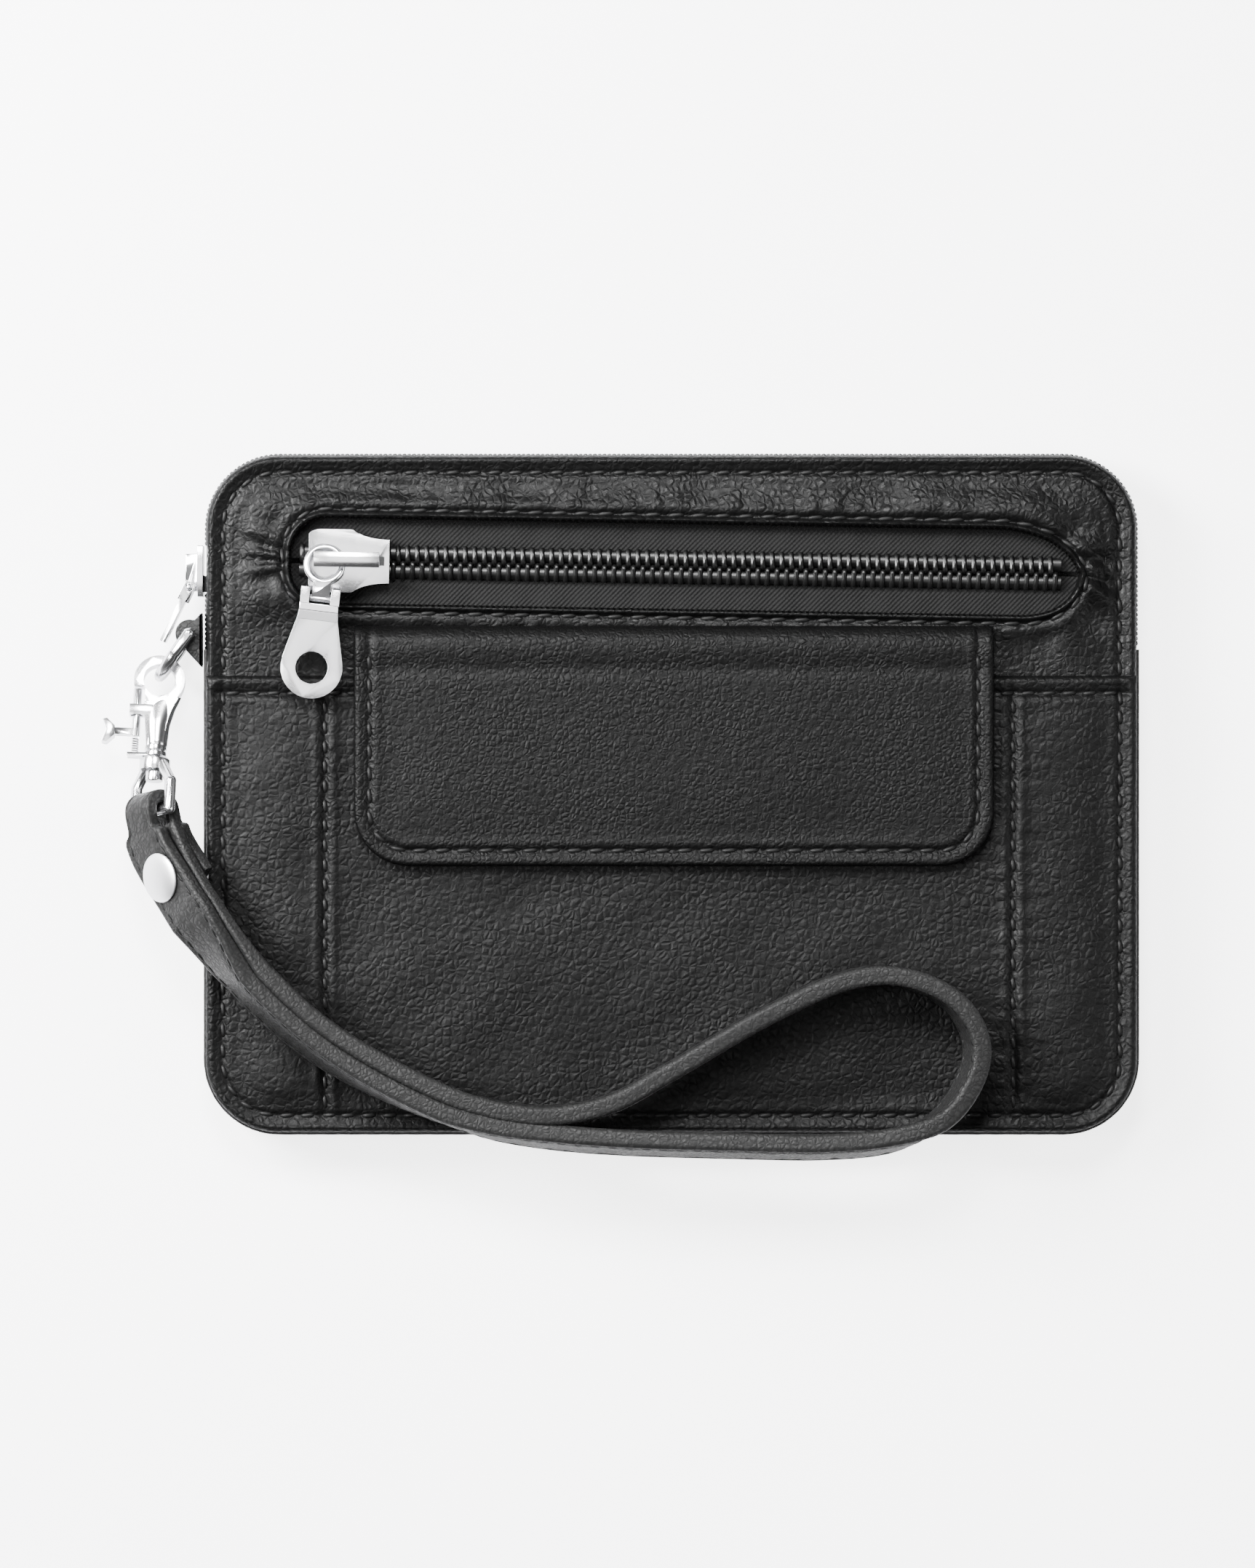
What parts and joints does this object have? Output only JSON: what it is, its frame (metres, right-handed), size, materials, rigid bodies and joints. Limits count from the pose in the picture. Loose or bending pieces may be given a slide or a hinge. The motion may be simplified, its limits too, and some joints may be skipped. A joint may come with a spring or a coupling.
{
  "type": "wristlet wallet",
  "caption": "Flat leather wristlet wallet with a zipped front pocket, a snap flap over a slip pocket, a zip round the top and a wrist strap on a swivel snap hook.",
  "frame": {"origin": "centre of the back panel's outer face, on which the wallet lies", "axes": "+Z out of the front, +Y to the top edge with the zip round it, +X to the right seen from the front"},
  "size_m": [0.1787, 0.1202, 0.0255],
  "materials": {
    "leather_black": "pebbled black leather, semi matt, with soft highlights on raised folds",
    "lining_fabric": "matt black woven lining",
    "zip_tape": "black twill tape",
    "zip_coil": "black nylon coil, glossy",
    "nickel": "bright nickel plate",
    "spring_steel": "plain wire",
    "board": "plain stiffener"
  },
  "bodies": {
    "wallet": {"back_panel": "leather_black", "back_lining": "lining_fabric", "gusset": "leather_black", "main_tape_back": "zip_tape", "main_tape_front": "zip_tape", "main_coil_back": "zip_coil", "main_coil_front": "zip_coil", "main_zip_end_left": "zip_tape", "main_zip_end_right": "zip_tape", "front_lining": "lining_fabric", "front_panel": "leather_black", "zip_pocket_bag": "lining_fabric", "front_zip_tape_upper": "zip_tape", "front_zip_tape_lower": "zip_tape", "front_coil_upper": "zip_coil", "front_coil_lower": "zip_coil", "pocket_panel": "leather_black", "flap_root": "leather_black", "snap_stud": "nickel", "side_tab": "leather_black"},
    "front_zip_slider": {"front_slider": "nickel"},
    "front_zip_link": {"front_link": "nickel"},
    "front_zip_tab": {"front_pull_tab": "nickel"},
    "main_zip_slider": {"main_slider": "nickel"},
    "main_zip_pull": {"main_pull": "nickel"},
    "flap": {"flap_lining": "leather_black", "flap_stiffener": "board", "flap_outer": "leather_black", "snap_socket": "nickel"},
    "ring": {"d_ring": "nickel"},
    "hook": {"hook_body": "nickel", "bolt_spring": "spring_steel"},
    "bolt": {"hook_bolt": "nickel"},
    "swivel": {"swivel_eye": "nickel"},
    "strap": {"wrist_strap": "leather_black", "rivet_cap": "nickel", "rivet_back": "nickel"}
  },
  "joints": [
    {"name": "front_zip_slide", "type": "slide", "parent": "wallet", "child": "front_zip_slider", "axis": [0.9998, -0.0175, 0], "range_m": [0, 0.11]},
    {"name": "front_link_turn", "type": "hinge", "parent": "front_zip_slider", "child": "front_zip_link", "pos_m": [-0.0595, 0.03936, 0.01455], "axis": [0.0253, 0.2064, 0.9781], "range_deg": [-80, 12]},
    {"name": "front_tab_lift", "type": "hinge", "parent": "front_zip_link", "child": "front_zip_tab", "pos_m": [-0.06023, 0.03343, 0.01582], "axis": [-0.9925, 0.1219, 0], "range_deg": [0, 100]},
    {"name": "main_zip_slide", "type": "slide", "parent": "wallet", "child": "main_zip_slider", "axis": [0, 1, 0], "range_m": [0, 0.003]},
    {"name": "main_pull_swing", "type": "hinge", "parent": "main_zip_slider", "child": "main_zip_pull", "pos_m": [-0.0831, 0.0356, 0.006], "axis": [0, 0, -1], "range_deg": [0, 110]},
    {"name": "flap_hinge", "type": "hinge", "parent": "wallet", "child": "flap", "pos_m": [0, 0.0275, 0.01305], "axis": [-1, 0, 0], "range_deg": [0, 90]},
    {"name": "ring_swing", "type": "hinge", "parent": "wallet", "child": "ring", "pos_m": [-0.083, 0.0276, 0.0064], "axis": [0, 0, -1], "range_deg": [0, 75]},
    {"name": "hook_pivot", "type": "hinge", "parent": "ring", "child": "hook", "pos_m": [-0.0882, 0.0203, 0.0064], "axis": [0, 0, -1], "range_deg": [0, 90]},
    {"name": "bolt_slide", "type": "slide", "parent": "hook", "child": "bolt", "axis": [-0.0412, -0.9671, 0.251], "range_m": [0, 0.0022], "stiffness_N_per_m": 200, "springref_m": -0.001, "deforming": ["bolt_spring"]},
    {"name": "eye_swivel", "type": "hinge", "parent": "hook", "child": "swivel", "pos_m": [-0.0892, -0.0032, 0.0125], "axis": [-0.0412, -0.9671, 0.251], "range_deg": [0, 115]},
    {"name": "strap_pivot", "type": "hinge", "parent": "swivel", "child": "strap", "pos_m": [-0.0892, -0.0032, 0.0125], "axis": [-0.6609, -0.1621, -0.7328], "range_deg": [0, 60]}
  ]
}
